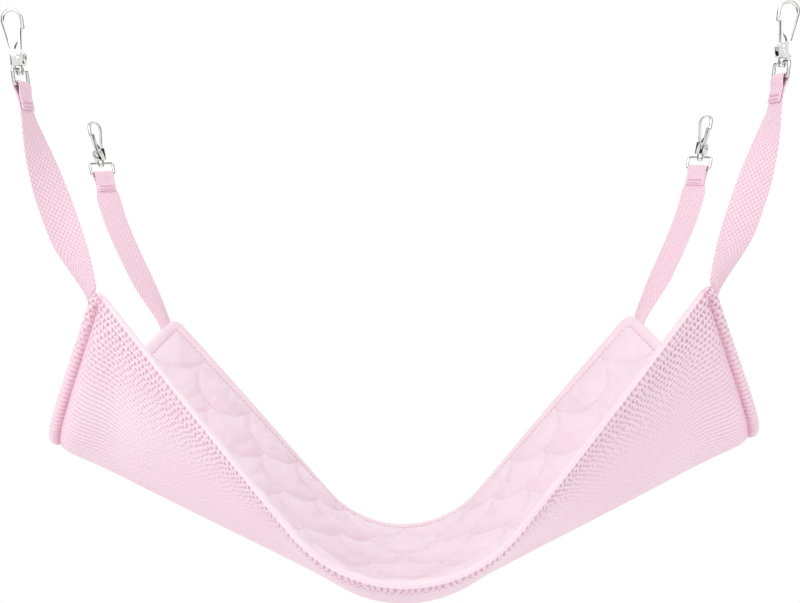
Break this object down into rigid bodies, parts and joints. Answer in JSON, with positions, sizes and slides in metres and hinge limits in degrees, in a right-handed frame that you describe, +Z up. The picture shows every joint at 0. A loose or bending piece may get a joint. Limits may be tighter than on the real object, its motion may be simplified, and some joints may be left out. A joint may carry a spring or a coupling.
{
  "type": "cat hammock",
  "caption": "Hanging cat hammock: a quilted pad with a ribbed air-mesh underside, slung from webbing straps that end in swivel snap hooks.",
  "frame": {"origin": "over the middle of the pad, at the height of the bars that the four hook bows hang on", "axes": "+Z up, +X along the pad's length, +Y towards the back straps"},
  "size_m": [0.506, 0.3466, 0.3658],
  "materials": {
    "air_mesh": "ribbed spacer mesh",
    "quilting": "smooth quilted polyester",
    "wadding": "polyester wadding",
    "webbing": "woven polyester webbing",
    "thread": "polyester sewing thread",
    "nickel": "polished nickel plate",
    "spring_steel": "bare spring steel"
  },
  "bodies": {
    "pad": {"mesh_panel": "air_mesh", "wadding": "wadding", "quilted_panel": "quilting"},
    "front_left_strap": {"front_left_strap": "webbing", "front_left_stitching": "thread"},
    "front_left_eye": {"front_left_eye": "nickel"},
    "front_left_hook": {"front_left_hook": "nickel", "front_left_swivel_rivet": "nickel", "front_left_gate_pin": "nickel", "front_left_gate_spring": "spring_steel"},
    "front_left_gate": {"front_left_gate": "nickel"},
    "front_right_strap": {"front_right_strap": "webbing", "front_right_stitching": "thread"},
    "front_right_eye": {"front_right_eye": "nickel"},
    "front_right_hook": {"front_right_hook": "nickel", "front_right_swivel_rivet": "nickel", "front_right_gate_pin": "nickel", "front_right_gate_spring": "spring_steel"},
    "front_right_gate": {"front_right_gate": "nickel"},
    "back_left_strap": {"back_left_strap": "webbing", "back_left_stitching": "thread"},
    "back_left_eye": {"back_left_eye": "nickel"},
    "back_left_hook": {"back_left_hook": "nickel", "back_left_swivel_rivet": "nickel", "back_left_gate_pin": "nickel", "back_left_gate_spring": "spring_steel"},
    "back_left_gate": {"back_left_gate": "nickel"},
    "back_right_strap": {"back_right_strap": "webbing", "back_right_stitching": "thread"},
    "back_right_eye": {"back_right_eye": "nickel"},
    "back_right_hook": {"back_right_hook": "nickel", "back_right_swivel_rivet": "nickel", "back_right_gate_pin": "nickel", "back_right_gate_spring": "spring_steel"},
    "back_right_gate": {"back_right_gate": "nickel"}
  },
  "joints": [
    {"name": "front_left_strap_swing", "type": "hinge", "parent": "pad", "child": "front_left_strap", "pos_m": [-0.19091, -0.12035, -0.16174], "axis": [0.3834, -0.7203, 0.578], "range_deg": [-60, 60]},
    {"name": "front_left_eye_tilt", "type": "hinge", "parent": "front_left_strap", "child": "front_left_eye", "pos_m": [-0.22181, -0.1599, -0.0375], "axis": [0.1294, 0.9777, 0.1652], "range_deg": [-70, 70]},
    {"name": "front_left_swivel", "type": "hinge", "parent": "front_left_eye", "child": "front_left_hook", "pos_m": [-0.22181, -0.1599, -0.0375], "axis": [-0.1175, -0.1504, 0.9816], "continuous": true},
    {"name": "front_left_gate_swing", "type": "hinge", "parent": "front_left_hook", "child": "front_left_gate", "pos_m": [-0.2219, -0.16274, -0.02001], "axis": [-0.0777, -0.9841, -0.16], "range_deg": [0, 20], "stiffness_Nm_per_rad": 0.03, "springref_deg": -14.32, "deforming": ["front_left_gate_spring"]},
    {"name": "front_right_strap_swing", "type": "hinge", "parent": "pad", "child": "front_right_strap", "pos_m": [0.19091, -0.12035, -0.16174], "axis": [0.3834, 0.7203, -0.578], "range_deg": [-60, 60]},
    {"name": "front_right_eye_tilt", "type": "hinge", "parent": "front_right_strap", "child": "front_right_eye", "pos_m": [0.22181, -0.1599, -0.0375], "axis": [0.1294, -0.9777, -0.1652], "range_deg": [-70, 70]},
    {"name": "front_right_swivel", "type": "hinge", "parent": "front_right_eye", "child": "front_right_hook", "pos_m": [0.22181, -0.1599, -0.0375], "axis": [-0.1175, 0.1504, -0.9816], "continuous": true},
    {"name": "front_right_gate_swing", "type": "hinge", "parent": "front_right_hook", "child": "front_right_gate", "pos_m": [0.2219, -0.16274, -0.02001], "axis": [-0.0777, 0.9841, 0.16], "range_deg": [0, 20], "stiffness_Nm_per_rad": 0.03, "springref_deg": -14.32, "deforming": ["front_right_gate_spring"]},
    {"name": "back_left_strap_swing", "type": "hinge", "parent": "pad", "child": "back_left_strap", "pos_m": [-0.19091, 0.12035, -0.16174], "axis": [0.3834, 0.7203, 0.578], "range_deg": [-60, 60]},
    {"name": "back_left_eye_tilt", "type": "hinge", "parent": "back_left_strap", "child": "back_left_eye", "pos_m": [-0.24103, 0.12297, -0.0375], "axis": [0.7742, 0.6164, 0.144], "range_deg": [-70, 70]},
    {"name": "back_left_swivel", "type": "hinge", "parent": "back_left_eye", "child": "back_left_hook", "pos_m": [-0.24103, 0.12297, -0.0375], "axis": [-0.1905, 0.01, 0.9816], "continuous": true},
    {"name": "back_left_gate_swing", "type": "hinge", "parent": "back_left_hook", "child": "back_left_gate", "pos_m": [-0.24557, 0.12155, -0.02043], "axis": [-0.7834, 0.601, -0.1582], "range_deg": [0, 20], "stiffness_Nm_per_rad": 0.03, "springref_deg": -14.32, "deforming": ["back_left_gate_spring"]},
    {"name": "back_right_strap_swing", "type": "hinge", "parent": "pad", "child": "back_right_strap", "pos_m": [0.19091, 0.12035, -0.16174], "axis": [0.3834, -0.7203, -0.578], "range_deg": [-60, 60]},
    {"name": "back_right_eye_tilt", "type": "hinge", "parent": "back_right_strap", "child": "back_right_eye", "pos_m": [0.24103, 0.12297, -0.0375], "axis": [0.7742, -0.6164, -0.144], "range_deg": [-70, 70]},
    {"name": "back_right_swivel", "type": "hinge", "parent": "back_right_eye", "child": "back_right_hook", "pos_m": [0.24103, 0.12297, -0.0375], "axis": [-0.1905, -0.01, -0.9816], "continuous": true},
    {"name": "back_right_gate_swing", "type": "hinge", "parent": "back_right_hook", "child": "back_right_gate", "pos_m": [0.24557, 0.12155, -0.02043], "axis": [-0.7834, -0.601, 0.1582], "range_deg": [0, 20], "stiffness_Nm_per_rad": 0.03, "springref_deg": -14.32, "deforming": ["back_right_gate_spring"]}
  ]
}
